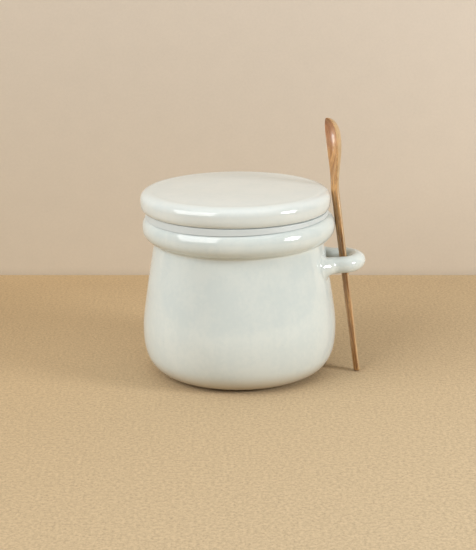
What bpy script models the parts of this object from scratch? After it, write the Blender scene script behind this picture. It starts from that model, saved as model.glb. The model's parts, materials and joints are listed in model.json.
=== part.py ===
"""A small stoneware storage jar: belly, rolled rim and side loop in one fired piece, a thick
round lid, a white sealing ring between lid and rim, and a wooden spoon that stands in the loop.

Run with: blender --background --python part.py
Metres, +Z up. The origin is on the jar's axis, at the middle of its flat foot.
"""
import math

import bmesh
import bpy
from mathutils import Matrix, Vector

GAP = 0.0003                    # between pieces that touch
TURN_STEPS = 56                 # flats round a turned piece

# Jar body, outside
FOOT_RADIUS = 0.0360
BELLY_RADIUS = 0.0500
BELLY_HEIGHT = 0.0233
HEEL_POWER = 2.05               # 2 is an ellipse, more is squarer
NECK_RADIUS = 0.0429
NECK_HEIGHT = 0.0729
WALL_BEND = 0.19                # share of the upper wall that turns over the belly

# Jar body, inside
WALL = 0.0046
FLOOR = 0.0050
INNER_FLOOR_RADIUS = 0.0310
MOUTH_RADIUS = 0.0386

# Rolled rim
RIM_CORE_RADIUS = 0.0426
RIM_HEIGHT = 0.0771
RIM_REACH = 0.0070              # out from the core
RIM_HALF_HEIGHT = 0.00705
RIM_POWER = 2.13
RIM_INNER_DROP = 0.0045         # from the crown down to the straight mouth

# Side loop
LOOP_HEIGHT = 0.0574
LOOP_RISE = 0.041               # upward slope of the loop as it leaves the wall
LOOP_ROOT_X = 0.0435                # where each arm meets the wall
LOOP_ANCHOR = (0.0417, 0.0129)      # where each arm ends, inside the wall
LOOP_BEND_X = 0.0543            # where the arms start to turn
LOOP_END_X = 0.0615
LOOP_HALF_WIDTH = 0.0095
LOOP_SPLAY = 0.0038             # how far each arm spreads where it meets the wall
LOOP_POWER = 1.80
LOOP_ROD = 0.00422
LOOP_ROOT_SWELL = 0.24          # extra rod thickness at the wall
PAD_RADIUS = 0.0072             # the round pad of clay that seats each arm on the wall
PAD_HALF_DEPTH = 0.0024
PAD_SEAT_RADIUS = 0.0449
PAD_LEAN = math.radians(9)

# Lid
LID_SHIFT = (-0.0015, 0.0)      # it was put down a little off centre
LID_RADIUS = 0.0489
LID_MIDDLE = 0.09075
LID_HALF_THICKNESS = 0.0050
LID_EDGE_REACH = 0.0035
LID_EDGE_POWER = 2.36
LID_DOME = 0.0004
PLUG_RADIUS = 0.0366
PLUG_WALL = 0.0038
PLUG_BOTTOM = 0.0792
PLUG_CORNER = 0.0008
LID_UNDERSIDE = 0.0877          # inside the plug

# Sealing ring
RING_SHIFT = (-0.0012, -0.0010)
RING_BORE = 0.0380
RING_TOP_RADIUS = 0.0458
RING_SKIRT_RADIUS = 0.0464
RING_THICKNESS = 0.0010
RING_SKIRT_BOTTOM = 0.0810
RING_SKIRT_INNER = 0.0430
RING_CORNER = 0.0006

# Spoon, set out along its own axis from the tip of the handle
SPOON_FOOT = (0.0612, -0.0100)  # where the axis meets the table
SPOON_LEAN = (-0.120, 0.162)    # per unit of height, to the jar and to the back
SPOON_TURN = math.radians(20)   # how far the hollow side faces the front
SPOON_LENGTH = 0.1325
SPOON_SECTION_POINTS = 20
SPOON_RINGS = 44
HANDLE_TIP_WIDTH = 0.0046
HANDLE_TIP_DEPTH = 0.0029
HANDLE_NECK_WIDTH = 0.0062
HANDLE_NECK_DEPTH = 0.0036
NECK_AT = 0.0940                # along the axis
BOWL_WIDE_AT = 0.1210
BOWL_WIDTH = 0.0166
BOWL_DEPTH = 0.0040
BOWL_WALL = 0.0019
BOWL_SET_BACK = 0.0012
TIP_ROUND = 0.0016              # length of the handle's rounded end

CLAY = (0.80, 0.79, 0.73, 1.0)
SILICONE = (0.86, 0.86, 0.84, 1.0)
WOOD = (0.42, 0.22, 0.10, 1.0)


def clear_scene():
    for obj in list(bpy.data.objects):
        bpy.data.objects.remove(obj, do_unlink=True)


def make_collection(name):
    collection = bpy.data.collections.new(name)
    bpy.context.scene.collection.children.link(collection)
    return collection


def make_material(name, colour, roughness, metallic=0.0):
    material = bpy.data.materials.new(name)
    material.use_nodes = True
    shader = material.node_tree.nodes["Principled BSDF"]
    shader.inputs["Base Color"].default_value = colour
    shader.inputs["Roughness"].default_value = roughness
    shader.inputs["Metallic"].default_value = metallic
    return material


def arc(centre, reach, rise, start, end, steps, power=2.0):
    """Points on a rounded corner: angle 0 points out, 90 degrees points up."""
    points = []
    for i in range(steps + 1):
        angle = math.radians(start + (end - start) * i / steps)
        across = math.cos(angle)
        up = math.sin(angle)
        x = centre[0] + reach * math.copysign(abs(across) ** (2 / power), across)
        z = centre[1] + rise * math.copysign(abs(up) ** (2 / power), up)
        points.append((x, z))
    return points


def wall_radius(height):
    """Outer radius of the upper wall, which turns over the belly and runs on to the neck."""
    share = (height - BELLY_HEIGHT) / (NECK_HEIGHT - BELLY_HEIGHT)
    bend = math.sqrt(1 + (share / WALL_BEND) ** 2) - 1
    full = math.sqrt(1 + 1 / WALL_BEND ** 2) - 1
    return BELLY_RADIUS - (BELLY_RADIUS - NECK_RADIUS) * bend / full


def rim_outline(grow, start, end, steps):
    """The rolled rim's outer side, grown by a clearance."""
    centre = (RIM_CORE_RADIUS, RIM_HEIGHT)
    reach = RIM_REACH + grow
    rise = RIM_HALF_HEIGHT + grow
    return arc(centre, reach, rise, start, end, steps, RIM_POWER)


def jar_profile():
    """From the middle of the inner floor, up the inside, over the rim and down to the foot."""
    points = [(0.0, FLOOR)]
    inner_belly = BELLY_RADIUS - WALL
    heel_reach = inner_belly - INNER_FLOOR_RADIUS
    heel_rise = BELLY_HEIGHT - FLOOR
    points += arc((INNER_FLOOR_RADIUS, BELLY_HEIGHT), heel_reach, heel_rise, -90, 0, 7, HEEL_POWER)
    crown = RIM_HEIGHT + RIM_HALF_HEIGHT
    mouth_bottom = RIM_HEIGHT - RIM_HALF_HEIGHT
    steps = 5
    for i in range(1, steps + 1):
        height = BELLY_HEIGHT + (mouth_bottom - BELLY_HEIGHT) * i / steps
        points.append((wall_radius(height) - WALL, height))
    inner_reach = RIM_CORE_RADIUS - MOUTH_RADIUS
    mouth_top = crown - RIM_INNER_DROP
    points += arc((RIM_CORE_RADIUS, mouth_top), inner_reach, RIM_INNER_DROP, 180, 90, 5)
    points += rim_outline(0.0, 90, -84, 14)[1:]
    steps = 7
    for i in range(steps):
        height = mouth_bottom + (BELLY_HEIGHT - mouth_bottom) * i / steps
        points.append((wall_radius(height), height))
    heel = (FOOT_RADIUS, BELLY_HEIGHT)
    heel_reach = BELLY_RADIUS - FOOT_RADIUS
    points += arc(heel, heel_reach, BELLY_HEIGHT, 0, -90, 10, HEEL_POWER)
    points.append((0.0, 0.0))
    return points


def lid_profile():
    """From the middle of the top, over the rounded edge, to the plug and the underside."""
    top = LID_MIDDLE + LID_HALF_THICKNESS
    bottom = LID_MIDDLE - LID_HALF_THICKNESS
    flat = LID_RADIUS - LID_EDGE_REACH
    points = [(0.0, top + LID_DOME)]
    for share in (0.35, 0.70):
        points.append((flat * share, top + LID_DOME * (1 - share ** 2)))
    points += arc((flat, LID_MIDDLE), LID_EDGE_REACH, LID_HALF_THICKNESS, 90, -90, 14, LID_EDGE_POWER)
    points.append((PLUG_RADIUS, bottom))
    corner = (PLUG_RADIUS - PLUG_CORNER, PLUG_BOTTOM + PLUG_CORNER)
    points += arc(corner, PLUG_CORNER, PLUG_CORNER, 0, -90, 2)
    points.append((PLUG_RADIUS - PLUG_WALL, PLUG_BOTTOM))
    points.append((PLUG_RADIUS - PLUG_WALL, LID_UNDERSIDE))
    points.append((0.0, LID_UNDERSIDE))
    return points


def ring_profile():
    """A flat washer with a skirt on its outer side, before the rim is cut from it."""
    top = LID_MIDDLE - LID_HALF_THICKNESS - GAP
    bottom = top - RING_THICKNESS
    points = [(RING_BORE, bottom), (RING_BORE, top)]
    corner = (RING_TOP_RADIUS - RING_CORNER, top - RING_CORNER)
    points += arc(corner, RING_CORNER, RING_CORNER, 90, 0, 3)
    points.append((RING_SKIRT_RADIUS, RING_SKIRT_BOTTOM))
    points.append((RING_SKIRT_INNER, RING_SKIRT_BOTTOM))
    points.append((RING_SKIRT_INNER, bottom))
    return points


def rim_clearance_profile():
    """The jar's mouth and rim with the gap added, as a closed outline for a cutter."""
    inner = MOUTH_RADIUS - GAP
    base = RIM_HEIGHT - RIM_HALF_HEIGHT
    crown = RIM_HEIGHT + RIM_HALF_HEIGHT + GAP
    points = [(inner, base)]
    inner_reach = RIM_CORE_RADIUS - inner
    points += arc((RIM_CORE_RADIUS, crown - RIM_INNER_DROP), inner_reach, RIM_INNER_DROP, 180, 90, 5)
    points += rim_outline(GAP, 90, 0, 10)[1:]
    points.append((RIM_CORE_RADIUS + RIM_REACH + GAP, base))
    return points


def turned(name, profile, closed, collection):
    """A profile in the XZ plane turned once round Z."""
    mesh = bpy.data.meshes.new(name)
    build = bmesh.new()
    vertices = [build.verts.new((x, 0.0, z)) for x, z in profile]
    for lower, upper in zip(vertices, vertices[1:]):
        build.edges.new((lower, upper))
    if closed:
        build.edges.new((vertices[-1], vertices[0]))
    build.to_mesh(mesh)
    build.free()
    obj = bpy.data.objects.new(name, mesh)
    collection.objects.link(obj)
    screw = obj.modifiers.new("Turn", "SCREW")
    screw.angle = math.tau
    screw.steps = TURN_STEPS
    screw.render_steps = TURN_STEPS
    screw.use_merge_vertices = True
    screw.merge_threshold = 0.00001
    screw.use_smooth_shade = True
    return obj


def loop_path():
    """Centre line of the loop with the rod's local swell: out, round the end and back."""
    root_y = LOOP_HALF_WIDTH + LOOP_SPLAY
    arm = [(LOOP_ANCHOR[0], LOOP_ANCHOR[1], 1 + LOOP_ROOT_SWELL)]
    arm_steps = 7
    for i in range(arm_steps):
        left = 1 - i / arm_steps
        x = LOOP_BEND_X + (LOOP_ROOT_X - LOOP_BEND_X) * left
        y = LOOP_HALF_WIDTH + (root_y - LOOP_HALF_WIDTH) * left ** 1.9
        arm.append((x, y, 1 + LOOP_ROOT_SWELL * left ** 3))
    bend = []
    end_reach = LOOP_END_X - LOOP_BEND_X
    end = arc((LOOP_BEND_X, 0.0), end_reach, LOOP_HALF_WIDTH, -90, 90, 16, LOOP_POWER)
    for x, y in end:
        bend.append((x, y, 1.0))
    front = [(x, -y, swell) for x, y, swell in arm]
    back = list(reversed(arm))
    path = []
    for x, y, swell in front + bend + back:
        z = LOOP_HEIGHT + LOOP_RISE * (x - LOOP_BEND_X)
        path.append((x, y, z, swell))
    return path


def make_loop(collection):
    """The round rod of the loop, as a closed mesh with both ends inside the jar's wall."""
    path = loop_path()
    curve = bpy.data.curves.new("loop", "CURVE")
    curve.dimensions = "3D"
    curve.bevel_depth = LOOP_ROD
    curve.bevel_resolution = 5
    curve.use_fill_caps = True
    spline = curve.splines.new("POLY")
    spline.points.add(len(path) - 1)
    for point, (x, y, z, swell) in zip(spline.points, path):
        point.co = (x, y, z, 1.0)
        point.radius = swell
    rod = bpy.data.objects.new("loop_curve", curve)
    collection.objects.link(rod)
    bpy.context.view_layer.update()
    evaluated = rod.evaluated_get(bpy.context.evaluated_depsgraph_get())
    mesh = bpy.data.meshes.new_from_object(evaluated)
    weld = bmesh.new()
    weld.from_mesh(mesh)
    bmesh.ops.remove_doubles(weld, verts=weld.verts, dist=0.000001)
    weld.to_mesh(mesh)
    weld.free()
    solid = bpy.data.objects.new("loop_solid", mesh)
    solid.matrix_world = rod.matrix_world.copy()
    collection.objects.link(solid)
    bpy.data.objects.remove(rod, do_unlink=True)
    return as_tool(solid)


def make_pad(turn, collection):
    """A flattened ball half sunk in the wall, turned about the jar's axis to the arm's root."""
    height = LOOP_HEIGHT + LOOP_RISE * (LOOP_ROOT_X - LOOP_BEND_X)
    mesh = bpy.data.meshes.new("loop_pad")
    ball = bmesh.new()
    bmesh.ops.create_uvsphere(ball, u_segments=24, v_segments=12, radius=1.0)
    flatten = Matrix.Diagonal((PAD_HALF_DEPTH, PAD_RADIUS, PAD_RADIUS, 1.0))
    lean = Matrix.Rotation(-PAD_LEAN, 4, "Y")
    seat = Matrix.Translation((PAD_SEAT_RADIUS, 0.0, height))
    ball.transform(Matrix.Rotation(turn, 4, "Z") @ seat @ lean @ flatten)
    ball.to_mesh(mesh)
    ball.free()
    pad = bpy.data.objects.new("loop_pad", mesh)
    collection.objects.link(pad)
    return as_tool(pad)


def as_tool(obj):
    obj.hide_render = True
    obj.display_type = "WIRE"
    return obj


def combine(obj, tool, operation):
    boolean = obj.modifiers.new(operation.title(), "BOOLEAN")
    boolean.operation = operation
    boolean.solver = "EXACT"
    boolean.object = tool


def ease(value):
    """Smooth step from 0 to 1."""
    value = min(1.0, max(0.0, value))
    return value * value * (3 - 2 * value)


def blend(start, end, share):
    return start + (end - start) * share


def spoon_section(along):
    """Width, thickness, hollow and set-back of the spoon at a distance from its tip."""
    down_handle = min(1.0, along / NECK_AT)
    width = blend(HANDLE_TIP_WIDTH, HANDLE_NECK_WIDTH, down_handle)
    depth = blend(HANDLE_TIP_DEPTH, HANDLE_NECK_DEPTH, down_handle)
    if along < TIP_ROUND:
        left = 1 - along / TIP_ROUND
        rounding = math.sqrt(1 - 0.75 * left ** 2)
        return width * rounding, depth * rounding, 0.0, 0.0
    if along <= NECK_AT:
        return width, depth, 0.0, 0.0
    opening = ease((along - NECK_AT) / (BOWL_WIDE_AT - NECK_AT))
    set_back = BOWL_SET_BACK * opening
    depth = blend(HANDLE_NECK_DEPTH, BOWL_WALL, opening)
    if along <= BOWL_WIDE_AT:
        width = blend(HANDLE_NECK_WIDTH, BOWL_WIDTH, opening)
        return width, depth, BOWL_DEPTH * opening, set_back
    left = (along - BOWL_WIDE_AT) / (SPOON_LENGTH - BOWL_WIDE_AT)
    closing = math.sqrt(max(0.0, 1 - left ** 2.9))
    depth *= blend(0.55, 1.0, closing)
    return BOWL_WIDTH * closing, depth, BOWL_DEPTH * closing ** 1.4, set_back * closing


def spoon_stations():
    """Distances from the tip, close together at both ends and over the bowl."""
    handle_share = 0.45
    stations = []
    for i in range(SPOON_RINGS):
        share = i / (SPOON_RINGS - 1)
        if share < handle_share:
            stations.append(NECK_AT * (share / handle_share) ** 1.5)
        else:
            rest = (share - handle_share) / (1 - handle_share)
            stations.append(blend(NECK_AT, SPOON_LENGTH * 0.9992, math.sin(rest * math.pi / 2)))
    return stations


def make_spoon(collection, material):
    """A loft of rounded sections, bent into a shallow bowl at the top."""
    axis = Vector((SPOON_LEAN[0], SPOON_LEAN[1], 1.0)).normalized()
    facing = Vector((-math.cos(SPOON_TURN), -math.sin(SPOON_TURN), 0.0))
    facing = (facing - axis * facing.dot(axis)).normalized()
    side = axis.cross(facing)
    foot = Vector((SPOON_FOOT[0], SPOON_FOOT[1], 0.0))
    build = bmesh.new()
    rings = []
    for along in spoon_stations():
        width, depth, hollow, set_back = spoon_section(along)
        ring = []
        for i in range(SPOON_SECTION_POINTS):
            angle = math.tau * i / SPOON_SECTION_POINTS
            across = math.copysign(abs(math.cos(angle)) ** 0.8, math.cos(angle))
            out = math.copysign(abs(math.sin(angle)) ** 0.8, math.sin(angle))
            sink = hollow * (1 - across ** 2) + set_back
            place = foot + axis * along + side * (0.5 * width * across)
            place += facing * (0.5 * depth * out - sink)
            ring.append(build.verts.new(place))
        rings.append(ring)
    for lower, upper in zip(rings, rings[1:]):
        for i in range(SPOON_SECTION_POINTS):
            j = (i + 1) % SPOON_SECTION_POINTS
            build.faces.new((lower[i], lower[j], upper[j], upper[i]))
    build.faces.new(list(reversed(rings[0])))
    build.faces.new(rings[-1])
    lowest = min(vertex.co.z for vertex in rings[0])
    bmesh.ops.translate(build, vec=axis * (-lowest / axis.z), verts=build.verts)
    bmesh.ops.recalc_face_normals(build, faces=build.faces)
    bmesh.ops.triangulate(build, faces=build.faces)
    mesh = bpy.data.meshes.new("spoon")
    build.to_mesh(mesh)
    build.free()
    mesh.shade_smooth()
    mesh.materials.append(material)
    obj = bpy.data.objects.new("spoon", mesh)
    collection.objects.link(obj)
    return obj


def main():
    clear_scene()
    parts = make_collection("storage_jar")
    tools = make_collection("tools")
    glaze = make_material("pale_glaze", CLAY, 0.15)
    lid_glaze = make_material("lid_glaze", CLAY, 0.15)
    silicone = make_material("white_silicone", SILICONE, 0.5)
    wood = make_material("oiled_wood", WOOD, 0.5)

    jar = turned("jar", jar_profile(), False, parts)
    jar.data.materials.append(glaze)
    combine(jar, make_loop(tools), "UNION")
    root_turn = math.atan2(LOOP_HALF_WIDTH + LOOP_SPLAY, LOOP_ROOT_X)
    combine(jar, make_pad(-root_turn, tools), "UNION")
    combine(jar, make_pad(root_turn, tools), "UNION")

    lid = turned("lid", lid_profile(), False, parts)
    lid.location = (LID_SHIFT[0], LID_SHIFT[1], 0.0)
    lid.data.materials.append(lid_glaze)

    ring = turned("seal_ring", ring_profile(), True, parts)
    ring.location = (RING_SHIFT[0], RING_SHIFT[1], 0.0)
    ring.data.materials.append(silicone)
    clearance = as_tool(turned("rim_clearance", rim_clearance_profile(), True, tools))
    combine(ring, clearance, "DIFFERENCE")

    make_spoon(parts, wood)


main()
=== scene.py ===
"""The looks of a small stoneware storage jar, with its lid, sealing ring and wooden spoon.

Everything is in metres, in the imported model's frame: +Z up the jar's axis, +X to the loop.
"""

import math

import bmesh
import bpy
from mathutils import Matrix, Vector
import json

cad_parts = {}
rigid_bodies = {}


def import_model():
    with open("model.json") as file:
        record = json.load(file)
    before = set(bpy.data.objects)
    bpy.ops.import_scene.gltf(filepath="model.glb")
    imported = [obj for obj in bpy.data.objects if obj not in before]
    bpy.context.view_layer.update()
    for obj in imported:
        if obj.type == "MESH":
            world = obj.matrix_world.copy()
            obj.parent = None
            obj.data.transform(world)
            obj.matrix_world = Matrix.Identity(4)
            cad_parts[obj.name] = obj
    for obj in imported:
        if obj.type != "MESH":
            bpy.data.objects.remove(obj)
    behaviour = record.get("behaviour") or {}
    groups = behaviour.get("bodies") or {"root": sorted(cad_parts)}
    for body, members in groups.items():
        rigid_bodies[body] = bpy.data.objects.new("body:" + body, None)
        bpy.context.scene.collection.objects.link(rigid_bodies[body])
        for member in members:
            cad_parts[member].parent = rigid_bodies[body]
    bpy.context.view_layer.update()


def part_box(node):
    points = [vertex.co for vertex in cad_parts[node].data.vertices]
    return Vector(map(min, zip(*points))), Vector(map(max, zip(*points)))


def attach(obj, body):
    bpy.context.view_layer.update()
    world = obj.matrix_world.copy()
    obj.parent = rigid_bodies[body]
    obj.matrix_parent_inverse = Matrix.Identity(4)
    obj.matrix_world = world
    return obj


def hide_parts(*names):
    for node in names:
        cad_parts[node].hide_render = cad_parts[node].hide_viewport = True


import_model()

jar_low, jar_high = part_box("jar")
lid_low, lid_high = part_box("lid")
ring_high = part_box("seal_ring")[1]

# Jar
SIDES = 192
BELLY_SWELL = 0.00045
BELLY_RADIUS = -jar_low.x + BELLY_SWELL
CROWN_HEIGHT = jar_high.z
FOOT_RADIUS = 0.0360
BELLY_HEIGHT = 0.0233
HEEL_POWER = 2.5
HEEL_LIFT = 0.0006
STAND_RADIUS = 0.0345
NECK_RADIUS = 0.0429
NECK_HEIGHT = 0.0729
WALL_BEND = 0.19
WALL = 0.0046
FLOOR = 0.0050
INNER_FLOOR_RADIUS = 0.0310
MOUTH_RADIUS = 0.0386
RIM_CORE_RADIUS = 0.0426
RIM_REACH = 0.0070
RIM_HALF_HEIGHT = 0.00705
RIM_HEIGHT = CROWN_HEIGHT - RIM_HALF_HEIGHT
RIM_POWER = 2.13
RIM_INNER_DROP = 0.0045
NECK_FILLET = 0.0011
POLE_RADIUS = 0.0012
FOOT_FADE = 0.006

# Side loop
LOOP_HEIGHT = 0.0574
LOOP_RISE = 0.041
LOOP_ROOT_X = 0.0435
LOOP_ANCHOR = (0.0417, 0.0129)
LOOP_BEND_X = 0.0543
LOOP_END_X = 0.0615
LOOP_HALF_WIDTH = 0.0095
LOOP_SPLAY = 0.0036
LOOP_SPLAY_POWER = 3.4
LOOP_POWER = 1.80
LOOP_ROD = 0.00422
LOOP_ROOT_SWELL = 0.24
LOOP_SIDES = 48
PAD_RADIUS = 0.0072
PAD_HALF_DEPTH = 0.0024
PAD_SEAT_RADIUS = 0.0449
PAD_LEAN = math.radians(9)
SEAT_Y = LOOP_HALF_WIDTH + LOOP_SPLAY
SEAT_TURN = math.atan2(SEAT_Y, LOOP_ROOT_X)
REFINED_REACH = 0.0115
SEAM_REACH = 0.0095
WALL_SKIN = 0.0008
SEAM_BEND = math.radians(18)

# Lid
LID_CENTRE = (lid_low + lid_high) / 2
LID_RADIUS = (lid_high.y - lid_low.y) / 2
LID_DOME = 0.0008
LID_SINK = 0.0001
LID_TOP = lid_high.z - LID_SINK
LID_EDGE_RISE = 0.0051
LID_HALF_THICKNESS = 0.0052
LID_MIDDLE = LID_TOP - LID_EDGE_RISE
LID_EDGE_REACH = 0.0062
LID_EDGE_POWER = 2.35
LID_FOOT_REACH = 0.0029
LID_FOOT_POWER = 2.6
PLUG_RADIUS = 0.0366
PLUG_WALL = 0.0038
PLUG_BOTTOM = lid_low.z
PLUG_CORNER = 0.0008
LID_UNDERSIDE = 0.0877

# Sealing ring
RING_CENTRE = (-0.0008, -0.0009)
RING_BORE = 0.0390
RING_SWELL = 0.00025
RING_TOP = ring_high.z + RING_SWELL
RING_TOP_RADIUS = 0.0468
RING_SKIRT_RADIUS = 0.0473
RING_THICKNESS = 0.0010
RING_SKIRT_BOTTOM = 0.0810
RING_SKIRT_INNER = 0.0430
RING_CORNER = 0.0003
RING_GAP = 0.0005

# Spoon, along its own axis from the tip
SPOON_FOOT = (0.0612, -0.0101)
SPOON_LEAN = (-0.120, 0.162)
SPOON_TURN = math.radians(15)
SPOON_LENGTH = 0.1325
SPOON_SIDES = 40
HANDLE_TIP_WIDTH = 0.0054
HANDLE_TIP_DEPTH = 0.0029
HANDLE_NECK_WIDTH = 0.0067
HANDLE_NECK_DEPTH = 0.0039
NECK_AT = 0.0940
BOWL_WIDE_AT = 0.1210
BOWL_WIDTH = 0.0166
BOWL_DEPTH = 0.0040
BOWL_WALL = 0.0019
BOWL_SET_BACK = 0.0012
BOWL_END_POWER = 2.9
BOWL_END_THINNING = 0.55
HOLLOW_END_POWER = 1.4
LAST_STATION = 0.9995
TIP_ROUND = 0.0010
TIP_BLUNTING = 0.75

# Colours
JAR_COOL = (0.590, 0.649, 0.636, 1.0)
JAR_WARM = (0.632, 0.680, 0.656, 1.0)
LID_COOL = (0.627, 0.672, 0.656, 1.0)
LID_WARM = (0.654, 0.688, 0.664, 1.0)
JAR_SPECKS = 0.10
LID_SPECKS = 0.07
IRON = (0.20, 0.14, 0.08, 1.0)
LOW_WALL_TONE = (0.50, 0.41, 0.28, 1.0)
CLAY_DARK = (0.40, 0.30, 0.20, 1.0)
CLAY_PALE = (0.56, 0.45, 0.33, 1.0)
SILICONE_COOL = (0.53, 0.575, 0.575, 1.0)
SILICONE_WARM = (0.59, 0.63, 0.625, 1.0)
FACE_WOOD_DARK = (0.29, 0.128, 0.035, 1.0)
FACE_WOOD_PALE = (0.58, 0.325, 0.125, 1.0)
BACK_WOOD_DARK = (0.38, 0.245, 0.115, 1.0)
BACK_WOOD_PALE = (0.54, 0.375, 0.195, 1.0)
BOWL_PATCH_DARK = (0.30, 0.115, 0.04, 1.0)
WOOD_PORE = (0.13, 0.055, 0.02, 1.0)
# The boards' near and far colours hold a painted falloff of the stage light between them.
SAND_NEAR = (0.457, 0.319, 0.167, 1.0)
SAND_FAR = (0.497, 0.387, 0.243, 1.0)
BEIGE_NEAR = (0.533, 0.450, 0.343, 1.0)
BEIGE_FAR = (0.584, 0.509, 0.423, 1.0)
LAMP_WARM = (1.0, 0.965, 0.90)
SKY_COOL = (0.94, 1.0, 1.06, 1.0)

# Camera, set from the photo's outlines
CAMERA_TARGET = Vector((-0.000578, 0.0, 0.049886))
CAMERA_DISTANCE = 0.7174
CAMERA_PITCH = 0.271
CAMERA_ROLL = -0.010
FOCAL_PIXELS = 1376.0
PHOTO_LONG_SIDE = 550
SENSOR = 36.0

# Stage
WALL_DISTANCE = 0.1794
WALL_TURN = -0.0377
STAGE_WIDTH = 1.1
FLOOR_BEHIND = 0.4
WALL_HEIGHT = 0.7
# Widths of the painted shading at the line where floor and wall meet.
FLOOR_SHADE = 0.022
WALL_SHADE = 0.0065
LEFT_POWER = 15.0
SIDE_POWER = 2.0
RIGHT_POWER = 6.5
TOP_POWER = 15.2
SKY = 0.04
GLINT_POWER = 0.0080
BOWL_MIDDLE = Vector((0.0493, 0.0137, 0.1185))


def only(obj):
    """Makes obj the one selected, active object."""
    bpy.ops.object.select_all(action="DESELECT")
    obj.select_set(True)
    bpy.context.view_layer.objects.active = obj
    return obj


def arc(centre, reach, rise, start, end, steps, power=2.0):
    """Points on a rounded corner: angle 0 points out, 90 degrees points up."""
    points = []
    for i in range(steps + 1):
        angle = math.radians(start + (end - start) * i / steps)
        across = math.cos(angle)
        up = math.sin(angle)
        x = centre[0] + reach * math.copysign(abs(across) ** (2 / power), across)
        z = centre[1] + rise * math.copysign(abs(up) ** (2 / power), up)
        points.append((x, z))
    return points


def wall_radius(height):
    share = (height - BELLY_HEIGHT) / (NECK_HEIGHT - BELLY_HEIGHT)
    bend = math.sqrt(1 + (share / WALL_BEND) ** 2) - 1
    full = math.sqrt(1 + 1 / WALL_BEND ** 2) - 1
    return BELLY_RADIUS - (BELLY_RADIUS - NECK_RADIUS) * bend / full


def rim_outline(grow, start, end, steps):
    centre = (RIM_CORE_RADIUS, RIM_HEIGHT)
    return arc(centre, RIM_REACH + grow, RIM_HALF_HEIGHT + grow, start, end, steps, RIM_POWER)


def jar_profile():
    """From the middle of the foot, up the outside, over the rim and down the inside."""
    points = [(POLE_RADIUS, 0.0), (FOOT_RADIUS * 0.5, 0.0), (STAND_RADIUS, 0.0)]
    points.append((STAND_RADIUS + HEEL_LIFT * 0.5, HEEL_LIFT))
    heel_reach = BELLY_RADIUS - FOOT_RADIUS
    heel_drop = BELLY_HEIGHT - HEEL_LIFT
    points += arc((FOOT_RADIUS, BELLY_HEIGHT), heel_reach, heel_drop, -90, 0, 26, HEEL_POWER)
    underside = RIM_HEIGHT - RIM_HALF_HEIGHT
    wall_top = underside - NECK_FILLET
    steps = 34
    for i in range(1, steps + 1):
        height = BELLY_HEIGHT + (wall_top - BELLY_HEIGHT) * i / steps
        points.append((wall_radius(height), height))
    corner = (wall_radius(wall_top) + NECK_FILLET, wall_top)
    points += arc(corner, NECK_FILLET, NECK_FILLET, 180, 95, 5)[1:]
    points += [p for p in rim_outline(0.0, -88, 90, 44) if p[0] > corner[0]]
    crown = RIM_HEIGHT + RIM_HALF_HEIGHT
    inner_reach = RIM_CORE_RADIUS - MOUTH_RADIUS
    drop = (RIM_CORE_RADIUS, crown - RIM_INNER_DROP)
    points += arc(drop, inner_reach, RIM_INNER_DROP, 90, 180, 12)[1:]
    steps = 10
    for i in range(1, steps):
        height = underside + (BELLY_HEIGHT - underside) * i / steps
        points.append((wall_radius(height) - WALL, height))
    inner_belly = BELLY_RADIUS - WALL
    inner_heel = (INNER_FLOOR_RADIUS, BELLY_HEIGHT)
    heel_rise = BELLY_HEIGHT - FLOOR
    points += arc(inner_heel, inner_belly - INNER_FLOOR_RADIUS, heel_rise, 0, -90, 16, HEEL_POWER)
    points.append((POLE_RADIUS, FLOOR))
    return points


def lid_profile():
    """From the middle of the underside, round the plug and the edge to the middle of the top."""
    bottom = LID_MIDDLE - LID_HALF_THICKNESS
    flat = LID_RADIUS - LID_EDGE_REACH
    foot = LID_RADIUS - LID_FOOT_REACH
    points = [(POLE_RADIUS, LID_UNDERSIDE), (PLUG_RADIUS - PLUG_WALL, LID_UNDERSIDE)]
    points.append((PLUG_RADIUS - PLUG_WALL, PLUG_BOTTOM))
    corner = (PLUG_RADIUS - PLUG_CORNER, PLUG_BOTTOM + PLUG_CORNER)
    points += arc(corner, PLUG_CORNER, PLUG_CORNER, -90, 0, 4)
    points.append((PLUG_RADIUS, bottom))
    points += arc((foot, LID_MIDDLE), LID_FOOT_REACH, LID_HALF_THICKNESS, -90, 0, 22, LID_FOOT_POWER)
    points += arc((flat, LID_MIDDLE), LID_EDGE_REACH, LID_EDGE_RISE, 0, 90, 26, LID_EDGE_POWER)[1:]
    steps = 16
    for i in range(1, steps):
        share = 1 - i / steps
        points.append((flat * share, LID_TOP + LID_DOME * (1 - share ** 3)))
    points.append((POLE_RADIUS, LID_TOP + LID_DOME))
    return points


def ring_profile():
    """Once round the washer and its skirt, ending where it starts."""
    bottom = RING_TOP - RING_THICKNESS
    points = [(RING_BORE, RING_TOP), (RING_BORE, bottom), (RING_SKIRT_INNER, bottom)]
    points.append((RING_SKIRT_INNER, RING_SKIRT_BOTTOM))
    points.append((RING_SKIRT_RADIUS, RING_SKIRT_BOTTOM))
    corner = (RING_TOP_RADIUS - RING_CORNER, RING_TOP - RING_CORNER)
    points += arc(corner, RING_CORNER, RING_CORNER, 0, 90, 6)
    points.append(points[0])
    return points


def rim_clearance_profile():
    """Once round the rim with the gap added, for cutting the ring to it."""
    inner = MOUTH_RADIUS - RING_GAP
    base = RIM_HEIGHT - RIM_HALF_HEIGHT
    crown = RIM_HEIGHT + RIM_HALF_HEIGHT + RING_GAP
    points = [(inner, base), (RIM_CORE_RADIUS + RIM_REACH + RING_GAP, base)]
    points += rim_outline(RING_GAP, 0, 90, 30)
    drop = (RIM_CORE_RADIUS, crown - RIM_INNER_DROP)
    points += arc(drop, RIM_CORE_RADIUS - inner, RIM_INNER_DROP, 90, 180, 8)[1:]
    points.append(points[0])
    return points


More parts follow.
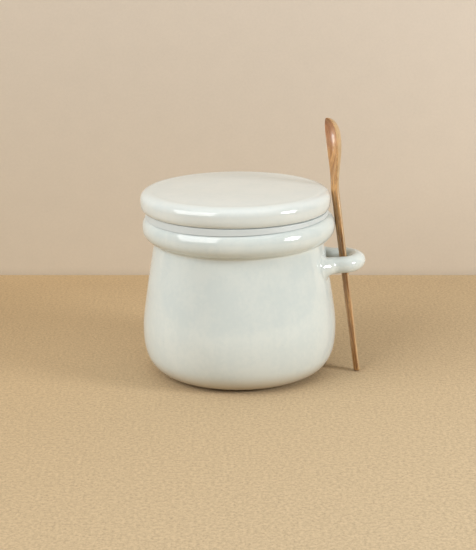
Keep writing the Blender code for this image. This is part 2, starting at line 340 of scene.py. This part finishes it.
def turn_on_wheel(name, profile, centre=(0.0, 0.0)):
    """A circle drawn out ring by ring through the profile; open ends are filled."""
    radius, height = profile[0]
    bpy.ops.object.select_all(action="DESELECT")
    bpy.ops.mesh.primitive_circle_add(
        vertices=SIDES, radius=radius, location=(centre[0], centre[1], height)
    )
    obj = bpy.context.object
    obj.name = name
    obj.data.name = name
    bpy.ops.object.transform_apply(location=True, rotation=True, scale=True)
    bpy.ops.object.mode_set(mode="EDIT")
    bpy.ops.mesh.select_mode(type="EDGE")
    bpy.ops.mesh.select_all(action="SELECT")
    for next_radius, next_height in profile[1:]:
        rise = next_height - height
        widen = next_radius / radius
        bpy.ops.mesh.extrude_edges_move(TRANSFORM_OT_translate={"value": (0.0, 0.0, rise)})
        bpy.ops.transform.resize(
            value=(widen, widen, 1.0), center_override=(centre[0], centre[1], next_height)
        )
        radius, height = next_radius, next_height
    bpy.ops.mesh.select_all(action="SELECT")
    bpy.ops.mesh.remove_doubles(threshold=0.000001)
    bpy.ops.mesh.select_all(action="DESELECT")
    bpy.ops.mesh.select_non_manifold()
    bpy.ops.mesh.fill_holes(sides=0)
    bpy.ops.mesh.select_all(action="SELECT")
    bpy.ops.mesh.normals_make_consistent(inside=False)
    bpy.ops.object.mode_set(mode="OBJECT")
    return obj


def boolean(obj, tool, operation):
    modifier = obj.modifiers.new(operation.title(), "BOOLEAN")
    modifier.operation = operation
    modifier.solver = "EXACT"
    modifier.object = tool
    only(obj)
    bpy.ops.object.modifier_apply(modifier=modifier.name)
    bpy.data.objects.remove(tool, do_unlink=True)


def smooth(obj, degrees):
    only(obj)
    bpy.ops.object.shade_smooth_by_angle(angle=math.radians(degrees))


def unevenness(obj, name, size, depth, keep_low=0.0):
    """Soft unevenness of hand-made ware, faded out at the foot so that it stands flat."""
    texture = bpy.data.textures.new(name, "CLOUDS")
    texture.noise_scale = size
    texture.noise_depth = 1
    group = obj.vertex_groups.new(name=name)
    for vertex in obj.data.vertices:
        weight = min(1.0, max(0.0, (vertex.co.z - keep_low) / FOOT_FADE))
        group.add([vertex.index], weight, "REPLACE")
    modifier = obj.modifiers.new(name, "DISPLACE")
    modifier.texture = texture
    modifier.texture_coords = "LOCAL"
    modifier.strength = depth
    modifier.mid_level = 0.5
    modifier.vertex_group = name
    only(obj)
    bpy.ops.object.modifier_apply(modifier=name)
    obj.vertex_groups.clear()


def loop_path():
    """Centre line of the loop and the rod's local swell: out, round the end and back."""
    arm = [(LOOP_ANCHOR[0], LOOP_ANCHOR[1], 1 + LOOP_ROOT_SWELL)]
    arm_steps = 18
    for i in range(arm_steps):
        left = 1 - i / arm_steps
        x = LOOP_BEND_X + (LOOP_ROOT_X - LOOP_BEND_X) * left
        y = LOOP_HALF_WIDTH + LOOP_SPLAY * left ** LOOP_SPLAY_POWER
        arm.append((x, y, 1 + LOOP_ROOT_SWELL * left ** 3))
    end_reach = LOOP_END_X - LOOP_BEND_X
    end = arc((LOOP_BEND_X, 0.0), end_reach, LOOP_HALF_WIDTH, -90, 90, 48, LOOP_POWER)
    bend = [(x, y, 1.0) for x, y in end]
    front = [(x, -y, swell) for x, y, swell in arm]
    path = []
    for x, y, swell in front + bend + list(reversed(arm)):
        rise = LOOP_RISE * (x - LOOP_BEND_X)
        path.append((Vector((x, y, LOOP_HEIGHT + rise)), swell))
    return path


def make_loop():
    """A disc drawn out along the loop's centre line, turned a little at each step."""
    path = loop_path()
    points = [point for point, swell in path]
    headings = []
    for before, after in zip(points[:1] + points, points[1:] + points[-1:]):
        headings.append(math.atan2(after.y - before.y, after.x - before.x))
    bpy.ops.object.select_all(action="DESELECT")
    bpy.ops.mesh.primitive_circle_add(
        vertices=LOOP_SIDES, radius=LOOP_ROD * path[0][1], fill_type="NGON",
        location=points[0], rotation=(0.0, math.pi / 2, headings[0]),
    )
    rod = bpy.context.object
    bpy.ops.object.transform_apply(location=True, rotation=True, scale=True)
    bpy.ops.object.mode_set(mode="EDIT")
    bpy.ops.mesh.select_mode(type="FACE")
    bpy.ops.mesh.select_all(action="SELECT")
    for i in range(1, len(path)):
        move = points[i] - points[i - 1]
        thicken = path[i][1] / path[i - 1][1]
        bpy.ops.mesh.extrude_region_move(TRANSFORM_OT_translate={"value": move})
        bpy.ops.transform.resize(value=(thicken, thicken, thicken), center_override=points[i])
        bpy.ops.transform.rotate(
            value=headings[i - 1] - headings[i], orient_axis="Z", center_override=points[i]
        )
    bpy.ops.mesh.select_all(action="SELECT")
    bpy.ops.mesh.normals_make_consistent(inside=False)
    bpy.ops.object.mode_set(mode="OBJECT")
    return rod


def make_pad(turn):
    """A ball flattened against the wall where an arm of the loop is seated."""
    height = LOOP_HEIGHT + LOOP_RISE * (LOOP_ROOT_X - LOOP_BEND_X)
    place = (PAD_SEAT_RADIUS * math.cos(turn), PAD_SEAT_RADIUS * math.sin(turn), height)
    bpy.ops.object.select_all(action="DESELECT")
    bpy.ops.mesh.primitive_uv_sphere_add(
        segments=64, ring_count=32, radius=1.0, location=place,
        rotation=(0.0, -PAD_LEAN, turn), scale=(PAD_HALF_DEPTH, PAD_RADIUS, PAD_RADIUS),
    )
    pad = bpy.context.object
    bpy.ops.object.transform_apply(location=True, rotation=True, scale=True)
    return pad


def near_root(point, reach):
    """Whether a point of the jar's outer wall lies within reach of an arm's seat."""
    for side in (-1, 1):
        seat = Vector((LOOP_ROOT_X, side * SEAT_Y, LOOP_HEIGHT))
        if (point - seat).length < reach:
            return math.hypot(point.x, point.y) > wall_radius(point.z) - WALL_SKIN
    return False


def soften_seams(obj):
    """Rounds the creases around the seats, as thick glaze does."""
    only(obj)
    bpy.ops.object.mode_set(mode="EDIT")
    bpy.ops.mesh.select_mode(type="EDGE")
    bpy.ops.mesh.select_all(action="DESELECT")
    mesh = bmesh.from_edit_mesh(obj.data)
    for edge in mesh.edges:
        middle = (edge.verts[0].co + edge.verts[1].co) / 2
        crease = len(edge.link_faces) == 2 and edge.calc_face_angle() > SEAM_BEND
        edge.select_set(crease and near_root(middle, SEAM_REACH))
    mesh.select_flush_mode()
    bmesh.update_edit_mesh(obj.data)
    bpy.ops.mesh.select_mode(type="VERT")
    bpy.ops.mesh.select_more()
    bpy.ops.mesh.select_more()
    bpy.ops.mesh.vertices_smooth(factor=0.5, repeat=6)
    bpy.ops.mesh.select_less()
    bpy.ops.mesh.vertices_smooth(factor=0.5, repeat=4)
    bpy.ops.object.mode_set(mode="OBJECT")


def refine_wall(jar):
    """Splits the wall's faces finely where the arms are seated."""
    only(jar)
    bpy.ops.object.mode_set(mode="EDIT")
    bpy.ops.mesh.select_mode(type="FACE")
    bpy.ops.mesh.select_all(action="DESELECT")
    mesh = bmesh.from_edit_mesh(jar.data)
    for face in mesh.faces:
        face.select_set(near_root(face.calc_center_median(), REFINED_REACH))
    bmesh.update_edit_mesh(jar.data)
    bpy.ops.mesh.subdivide(number_cuts=3, smoothness=1.0)
    bpy.ops.object.mode_set(mode="OBJECT")


def make_jar():
    jar = turn_on_wheel("thrown_jar", jar_profile())
    smooth(jar, 40)
    refine_wall(jar)
    boolean(jar, make_loop(), "UNION")
    boolean(jar, make_pad(-SEAT_TURN), "UNION")
    boolean(jar, make_pad(SEAT_TURN), "UNION")
    soften_seams(jar)
    unevenness(jar, "hand_thrown", size=0.030, depth=0.00035)
    smooth(jar, 60)
    return jar


def make_lid():
    lid = turn_on_wheel("thick_lid", lid_profile(), (LID_CENTRE.x, LID_CENTRE.y))
    unevenness(lid, "hand_finished", size=0.035, depth=0.00025, keep_low=LID_MIDDLE)
    smooth(lid, 40)
    return lid


def make_ring():
    ring = turn_on_wheel("soft_seal", ring_profile(), RING_CENTRE)
    boolean(ring, turn_on_wheel("rim_space", rim_clearance_profile()), "DIFFERENCE")
    smooth(ring, 40)
    return ring


def ease(value):
    value = min(1.0, max(0.0, value))
    return value * value * (3 - 2 * value)


def blend(start, end, share):
    return start + (end - start) * share


def spoon_section(along):
    """Width, thickness, hollow and set-back of the spoon at a distance from its tip."""
    down_handle = min(1.0, along / NECK_AT)
    width = blend(HANDLE_TIP_WIDTH, HANDLE_NECK_WIDTH, down_handle)
    depth = blend(HANDLE_TIP_DEPTH, HANDLE_NECK_DEPTH, down_handle)
    if along < TIP_ROUND:
        left = 1 - along / TIP_ROUND
        rounding = math.sqrt(1 - TIP_BLUNTING * left ** 2)
        return width * rounding, depth * rounding, 0.0, 0.0
    if along <= NECK_AT:
        return width, depth, 0.0, 0.0
    opening = ease((along - NECK_AT) / (BOWL_WIDE_AT - NECK_AT))
    set_back = BOWL_SET_BACK * opening
    depth = blend(HANDLE_NECK_DEPTH, BOWL_WALL, opening)
    if along <= BOWL_WIDE_AT:
        width = blend(HANDLE_NECK_WIDTH, BOWL_WIDTH, opening)
        return width, depth, BOWL_DEPTH * opening, set_back
    left = (along - BOWL_WIDE_AT) / (SPOON_LENGTH - BOWL_WIDE_AT)
    closing = math.sqrt(max(0.0, 1 - left ** BOWL_END_POWER))
    depth *= blend(BOWL_END_THINNING, 1.0, closing)
    hollow = BOWL_DEPTH * closing ** HOLLOW_END_POWER
    return BOWL_WIDTH * closing, depth, hollow, set_back * closing


def spoon_stations():
    steps = 5
    stations = [TIP_ROUND * (i / steps) ** 1.6 for i in range(steps)]
    steps = 26
    stations += [blend(TIP_ROUND, NECK_AT, i / steps) for i in range(steps)]
    steps = 48
    reach = SPOON_LENGTH * LAST_STATION - NECK_AT
    stations += [NECK_AT + reach * math.sin(i / steps * math.pi / 2) for i in range(steps + 1)]
    return stations


def make_spoon():
    """A bar drawn out station by station, its bowl pressed hollow, then leaned in the loop."""
    stations = spoon_stations()
    width, depth = spoon_section(0.0)[:2]
    bpy.ops.object.select_all(action="DESELECT")
    bpy.ops.mesh.primitive_circle_add(vertices=SPOON_SIDES, radius=width / 2, fill_type="NGON")
    spoon = bpy.context.object
    spoon.name = "carved_spoon"
    spoon.data.name = "carved_spoon"
    bpy.ops.object.mode_set(mode="EDIT")
    bpy.ops.mesh.select_mode(type="FACE")
    bpy.ops.mesh.select_all(action="SELECT")
    bpy.ops.transform.resize(value=(1.0, depth / width, 1.0), center_override=(0.0, 0.0, 0.0))
    for lower, upper in zip(stations, stations[1:]):
        next_width, next_depth = spoon_section(upper)[:2]
        move = {"value": (0.0, 0.0, upper - lower)}
        bpy.ops.mesh.extrude_region_move(TRANSFORM_OT_translate=move)
        bpy.ops.transform.resize(
            value=(next_width / width, next_depth / depth, 1.0), center_override=(0.0, 0.0, upper)
        )
        width, depth = next_width, next_depth
    bpy.ops.mesh.select_all(action="SELECT")
    bpy.ops.mesh.normals_make_consistent(inside=False)
    bpy.ops.object.mode_set(mode="OBJECT")
    place = spoon.data.attributes.new("wood_place", "FLOAT_VECTOR", "POINT")
    for vertex in spoon.data.vertices:
        place.data[vertex.index].vector = vertex.co
    press_bowl(spoon)
    axis = Vector((SPOON_LEAN[0], SPOON_LEAN[1], 1.0)).normalized()
    facing = Vector((-math.cos(SPOON_TURN), -math.sin(SPOON_TURN), 0.0))
    facing = (facing - axis * facing.dot(axis)).normalized()
    side = facing.cross(axis)
    turn = Matrix((side, facing, axis)).transposed().to_4x4()
    foot = Vector((SPOON_FOOT[0], SPOON_FOOT[1], 0.0))
    lowest = min((turn @ vertex.co).z for vertex in spoon.data.vertices)
    spoon.matrix_world = Matrix.Translation(foot - axis * (lowest / axis.z)) @ turn
    only(spoon)
    bpy.ops.object.transform_apply(location=True, rotation=True, scale=True)
    smooth(spoon, 50)
    return spoon


def press_bowl(spoon):
    """Pushes the middle of the bowl back, most at its deepest, so that its face is hollow."""
    full = BOWL_DEPTH + BOWL_SET_BACK
    group = spoon.vertex_groups.new(name="hollow")
    for vertex in spoon.data.vertices:
        width, depth, hollow, set_back = spoon_section(vertex.co.z)
        across = min(1.0, abs(vertex.co.x) / (0.5 * width))
        sink = hollow * (1 - across ** 2) + set_back
        group.add([vertex.index], sink / full, "REPLACE")
    press = spoon.modifiers.new("press", "DISPLACE")
    press.direction = "Y"
    press.mid_level = 0.0
    press.strength = -full
    press.vertex_group = "hollow"
    only(spoon)
    bpy.ops.object.modifier_apply(modifier="press")
    spoon.vertex_groups.clear()


class Field:
    """A number that varies over a surface. Arithmetic on it adds Math nodes."""

    def __init__(self, recipe, socket):
        self.recipe = recipe
        self.socket = socket

    def combine(self, operation, first, second):
        return self.recipe.node("ShaderNodeMath", {"operation": operation}, {0: first, 1: second})

    def __add__(self, other):
        return self.combine("ADD", self, other)

    def __radd__(self, other):
        return self.combine("ADD", other, self)

    def __sub__(self, other):
        return self.combine("SUBTRACT", self, other)

    def __rsub__(self, other):
        return self.combine("SUBTRACT", other, self)

    def __mul__(self, other):
        return self.combine("MULTIPLY", self, other)

    def __rmul__(self, other):
        return self.combine("MULTIPLY", other, self)


class Recipe:
    """One material and the nodes that make it."""

    def __init__(self, name):
        self.material = bpy.data.materials.new(name)
        self.material.use_nodes = True
        self.tree = self.material.node_tree
        self.shader = self.tree.nodes["Principled BSDF"]

    def node(self, kind, settings, inputs, output=0):
        """Adds a node, sets it up, fills its sockets and returns one of its outputs."""
        node = self.tree.nodes.new(kind)
        for name, value in settings.items():
            setattr(node, name, value)
        for name, value in inputs.items():
            self.feed(node.inputs[name], value)
        return Field(self, node.outputs[output])

    def feed(self, socket, value):
        if isinstance(value, Field):
            self.tree.links.new(value.socket, socket)
        else:
            socket.default_value = value

    def set(self, **values):
        """Shader sockets by name, with underscores for spaces."""
        for name, value in values.items():
            self.feed(self.shader.inputs[name.replace("_", " ")], value)

    def place(self):
        return self.node("ShaderNodeTexCoord", {}, {}, "Object")

    def stretched(self, vector, scale):
        return self.node("ShaderNodeMapping", {}, {"Vector": vector, "Scale": scale})

    def noise(self, vector, scale, detail=2.0, roughness=0.5, distortion=0.0):
        values = {"Vector": vector, "Scale": scale, "Detail": detail, "Roughness": roughness}
        values["Distortion"] = distortion
        return self.node("ShaderNodeTexNoise", {}, values, "Fac")

    def between(self, value, low, high, start=0.0, end=1.0):
        """Maps value smoothly from low..high to start..end and holds it there."""
        values = {"Value": value, "From Min": low, "From Max": high, "To Min": start, "To Max": end}
        return self.node("ShaderNodeMapRange", {"interpolation_type": "SMOOTHSTEP"}, values, "Result")

    def mix(self, share, first, second):
        values = {0: share, 6: first, 7: second}
        return self.node("ShaderNodeMix", {"data_type": "RGBA"}, values, 2)

    def bump(self, height, distance, strength):
        values = {"Height": height, "Distance": distance, "Strength": strength}
        return self.node("ShaderNodeBump", {}, values, "Normal")


def specks(recipe, place, spacing, size, share):
    """A mask of small round spots, on a share of the cells."""
    settings = {"feature": "F1"}
    values = {"Vector": place, "Scale": 1 / spacing, "Randomness": 1.0}
    near = recipe.node("ShaderNodeTexVoronoi", settings, values, "Distance")
    cell = recipe.node("ShaderNodeTexVoronoi", settings, values, "Color")
    chance = recipe.node("ShaderNodeSeparateColor", {}, {"Color": cell}, 0)
    spot = recipe.between(near, 0.5 * size / spacing, size / spacing, 1.0, 0.0)
    return spot * recipe.between(chance, share - 0.02, share, 1.0, 0.0)


def glaze(name, cool, warm, speck_share):
    """Pale gloss glaze, faintly mottled, iron-specked, darker and warmer low down, bare clay at the foot.
    """
    recipe = Recipe(name)
    place = recipe.place()
    cloudy = recipe.noise(place, 60.0, 3.0, 0.6)
    runs = recipe.noise(recipe.stretched(place, (260.0, 260.0, 9.0)), 1.0, 2.0, 0.5)
    mottled = recipe.noise(place, 430.0, 3.0, 0.6)
    shade = recipe.between(cloudy * 0.5 + runs * 0.17 + mottled * 0.33, 0.40, 0.60)
    body = recipe.mix(shade, cool, warm)
    spots = specks(recipe, place, spacing=0.0075, size=0.00030, share=speck_share)
    fine = specks(recipe, place, spacing=0.0035, size=0.00014, share=speck_share)
    marks = recipe.between(spots + fine * 0.6, 0.0, 1.0, 0.0, 0.75)
    height = recipe.node("ShaderNodeSeparateXYZ", {}, {"Vector": place}, "Z")
    # Darker and warmer towards the bottom of the wall.
    low_wall_share = recipe.between(height, 0.0015, 0.0120, 0.8, 0.0)
    body = recipe.mix(low_wall_share, body, LOW_WALL_TONE)
    glazed = recipe.mix(marks, body, IRON)
    ragged = recipe.noise(place, 320.0, 2.0) * 0.0004
    bare = recipe.between(height - ragged, 0.0005, 0.0009, 1.0, 0.0)
    grit = recipe.noise(place, 1400.0, 3.0, 0.6)
    clay = recipe.mix(grit, CLAY_DARK, CLAY_PALE)
    recipe.set(Base_Color=recipe.mix(bare, glazed, clay))
    gloss = recipe.noise(place, 90.0, 2.0) * 0.04 + 0.055
    recipe.set(Roughness=gloss + bare * 0.72)
    recipe.set(IOR=1.6)
    peel = recipe.noise(place, 420.0, 2.0, 0.5)
    waves = recipe.noise(recipe.stretched(place, (14.0, 14.0, 160.0)), 1.0, 1.0)
    relief = peel * 0.000009 + waves * 0.00005 + runs * 0.00003 + bare * grit * 0.0001
    recipe.set(Normal=recipe.bump(relief, 1.0, 0.5))
    return recipe.material


def silicone():
    """Matt white silicone with a fine moulded grain."""
    recipe = Recipe("white_silicone")
    place = recipe.place()
    cloudy = recipe.noise(place, 60.0, 2.0)
    recipe.set(Base_Color=recipe.mix(cloudy, SILICONE_COOL, SILICONE_WARM))
    recipe.set(Roughness=recipe.noise(place, 300.0, 2.0) * 0.12 + 0.40)
    recipe.set(Normal=recipe.bump(recipe.noise(place, 2200.0, 2.0), 0.00002, 0.5))
    return recipe.material


def oiled_wood():
    """Oiled wood, redder on the spoon's face, with long fine grain and dark pores."""
    recipe = Recipe("oiled_spoon_wood")
    place = recipe.node("ShaderNodeAttribute", {"attribute_name": "wood_place"}, {}, "Vector")
    across = recipe.node("ShaderNodeSeparateXYZ", {}, {"Vector": place}, "X")
    forward = recipe.node("ShaderNodeSeparateXYZ", {}, {"Vector": place}, "Y")
    along = recipe.node("ShaderNodeSeparateXYZ", {}, {"Vector": place}, "Z")
    bands = recipe.noise(recipe.stretched(place, (1100.0, 1100.0, 30.0)), 1.0, 4.0, 0.65, 0.3)
    pores = recipe.noise(recipe.stretched(place, (2400.0, 2400.0, 240.0)), 1.0, 3.0, 0.65)
    broad = recipe.noise(recipe.stretched(place, (220.0, 220.0, 60.0)), 1.0, 3.0, 0.6)
    face = recipe.between(forward + (broad - 0.5) * 0.0022, -0.0006, 0.0002)
    tone = recipe.between(bands * 0.6 + broad * 0.4, 0.39, 0.61)
    # The face side gets darker, redder colours and the back paler ones.
    face_wood = recipe.mix(tone, FACE_WOOD_DARK, FACE_WOOD_PALE)
    back_wood = recipe.mix(tone, BACK_WOOD_DARK, BACK_WOOD_PALE)
    # A darker, redder patch near the upper end of the bowl's face, on its far side.
    bowl_patch = recipe.between(along, 0.113, 0.126) * recipe.between(across, -0.003, 0.004)
    patched_face = recipe.mix(bowl_patch * 0.75, face_wood, BOWL_PATCH_DARK)
    grain = recipe.mix(face, back_wood, patched_face)
    pitted = recipe.between(pores, 0.36, 0.47, 1.0, 0.0) * (face * 0.4 + 0.2)
    recipe.set(Base_Color=recipe.mix(pitted, grain, WOOD_PORE))
    recipe.set(Roughness=pitted * 0.3 + 0.42)
    recipe.set(Coat_Weight=0.35, Coat_Roughness=0.13)
    relief = bands * 0.00004 - pitted * 0.00005
    recipe.set(Normal=recipe.bump(relief, 1.0, 0.8))
    return recipe.material


def finish_piece(piece, node, material):
    piece.data.materials.clear()
    piece.data.materials.append(material)
    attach(piece, "root")
    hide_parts(node)


def plain_material(name, near, far, along, start, grain, joint):
    """Matt board with a painted light falloff from one colour to another along one of its own directions.

    joint holds the two places between which painted shading fades in towards the line where floor
    and wall meet, and the change in shade at each: painted shade on the wall, painted light on the floor.
    """
    recipe = Recipe(name)
    place = recipe.place()
    run = recipe.node("ShaderNodeVectorMath", {"operation": "DOT_PRODUCT"}, {0: place, 1: along}, "Value")
    # Painted falloff of the light: the colour runs from near to far along the board.
    colour = recipe.mix(run + start, near, far)
    fibres = recipe.noise(place, 620.0, 3.0, 0.65)
    flecks = recipe.between(recipe.noise(place, 1150.0, 2.0, 0.6), 0.36, 0.46, 1.0, 0.0)
    blotches = recipe.noise(place, 75.0, 3.0, 0.6)
    shade = recipe.between(fibres, 0.3, 0.7, 1.0 - grain, 1.0 + grain) - flecks * (grain * 1.2)
    shade = shade + (blotches - 0.5) * 0.06
    depth = recipe.node("ShaderNodeSeparateXYZ", {}, {"Vector": place}, "Y")
    # Painted shade darkens the wall towards its foot; painted light lightens the floor towards its back.
    shade = shade + recipe.between(depth, *joint)
    tinted = recipe.node(
        "ShaderNodeVectorMath", {"operation": "SCALE"}, {"Vector": colour, "Scale": shade}
    )
    recipe.set(Base_Color=tinted, Roughness=0.9)
    recipe.set(Normal=recipe.bump(fibres, 0.0004, min(1.0, grain * 6)))
    return recipe.material


def stage_board(name, location, rotation, scale, material):
    bpy.ops.object.select_all(action="DESELECT")
    bpy.ops.mesh.primitive_plane_add(size=1.0, location=location, rotation=rotation, scale=scale)
    board = bpy.context.object
    board.name = name
    bpy.ops.object.transform_apply(location=False, rotation=False, scale=True)
    board.data.materials.append(material)
    return board


def make_stage():
    sand = plain_material(
        "sand_board", near=SAND_NEAR, far=SAND_FAR, along=(1.584, -1.812, 0.0), start=0.896, grain=0.13,
        joint=(FLOOR_BEHIND - FLOOR_SHADE, FLOOR_BEHIND, 0.0, 0.05),
    )
    beige = plain_material(
        "beige_board", near=BEIGE_NEAR, far=BEIGE_FAR, along=(1.428, 4.01, 0.0), start=1.552, grain=0.014,
        joint=(-WALL_HEIGHT / 2 - WALL_SHADE, -WALL_HEIGHT / 2 + WALL_SHADE, -0.24, 0.0),
    )
    floor_place = (0.0, WALL_DISTANCE - FLOOR_BEHIND, 0.0)
    floor = stage_board("stage_floor", floor_place, (0.0, 0.0, 0.0), (STAGE_WIDTH, 1.0, 1.0), sand)
    wall_place = (0.0, WALL_DISTANCE, WALL_HEIGHT / 2)
    upright = (math.pi / 2, 0.0, WALL_TURN)
    wall = stage_board("stage_wall", wall_place, upright, (STAGE_WIDTH, WALL_HEIGHT, 1.0), beige)


def softbox(name, power, direction, distance, size, roll=0, aim_at=CAMERA_TARGET):
    """A rectangular light that faces the jar.

    direction is azimuth and elevation: azimuth 0 is in front, 90 on the loop's side.
    """
    turn = math.radians(direction[0])
    tilt = math.radians(direction[1])
    level = math.cos(tilt)
    towards = Vector((math.sin(turn) * level, -math.cos(turn) * level, math.sin(tilt)))
    data = bpy.data.lights.new(name, "AREA")
    data.shape = "RECTANGLE"
    data.size, data.size_y = size
    data.energy = power
    light = bpy.data.objects.new(name, data)
    bpy.context.scene.collection.objects.link(light)
    aim = (-towards).to_track_quat("-Z", "Y").to_matrix().to_4x4()
    place = Matrix.Translation(aim_at + towards * distance)
    light.matrix_world = place @ aim @ Matrix.Rotation(math.radians(roll), 4, "Z")
    return light


def make_lights(spoon):
    """Soft studio light, and one small lamp that only the spoon catches, for its bowl's glint."""
    softbox(
        "left_window", LEFT_POWER, direction=(-54, 31), distance=1.30, size=(1.15, 0.96), roll=17.5
    )
    side = softbox("left_side", SIDE_POWER, direction=(-95, 30), distance=1.20, size=(0.70, 0.60))
    side.visible_glossy = False
    softbox(
        "right_lamp", RIGHT_POWER, direction=(65, 17), distance=0.90, size=(0.27, 0.29), roll=-15
    )
    overhead = softbox("overhead", TOP_POWER, direction=(0, 84), distance=1.60, size=(2.10, 2.10))
    overhead.data.color = LAMP_WARM
    glint = softbox(
        "spoon_glint", GLINT_POWER, direction=(-106, -9.5), distance=0.35, size=(0.10, 0.09),
        aim_at=BOWL_MIDDLE,
    )
    glint.data.spread = math.radians(14)
    lit_spoon = bpy.data.collections.new("lit_spoon")
    lit_spoon.objects.link(spoon)
    glint.light_linking.receiver_collection = lit_spoon
    world = bpy.data.worlds.new("studio")
    bpy.context.scene.world = world
    world.use_nodes = True
    sky = world.node_tree.nodes["Background"]
    sky.inputs["Color"].default_value = SKY_COOL
    sky.inputs["Strength"].default_value = SKY


def make_camera():
    data = bpy.data.cameras.new("photo_camera")
    data.sensor_width = SENSOR
    data.lens = FOCAL_PIXELS / PHOTO_LONG_SIDE * SENSOR
    camera = bpy.data.objects.new("photo_camera", data)
    bpy.context.scene.collection.objects.link(camera)
    look = Vector((0.0, math.cos(CAMERA_PITCH), -math.sin(CAMERA_PITCH)))
    place = CAMERA_TARGET - look * CAMERA_DISTANCE
    aim = Matrix.Rotation(math.pi / 2 - CAMERA_PITCH, 4, "X")
    roll = Matrix.Rotation(CAMERA_ROLL, 4, "Z")
    camera.matrix_world = Matrix.Translation(place) @ aim @ roll
    bpy.context.scene.camera = camera


finish_piece(make_jar(), "jar", glaze("jar_glaze", JAR_COOL, JAR_WARM, JAR_SPECKS))
finish_piece(make_lid(), "lid", glaze("lid_glaze", LID_COOL, LID_WARM, LID_SPECKS))
finish_piece(make_ring(), "seal_ring", silicone())
spoon = make_spoon()
finish_piece(spoon, "spoon", oiled_wood())
make_stage()
make_lights(spoon)
make_camera()
bpy.context.scene.view_settings.view_transform = "Standard"
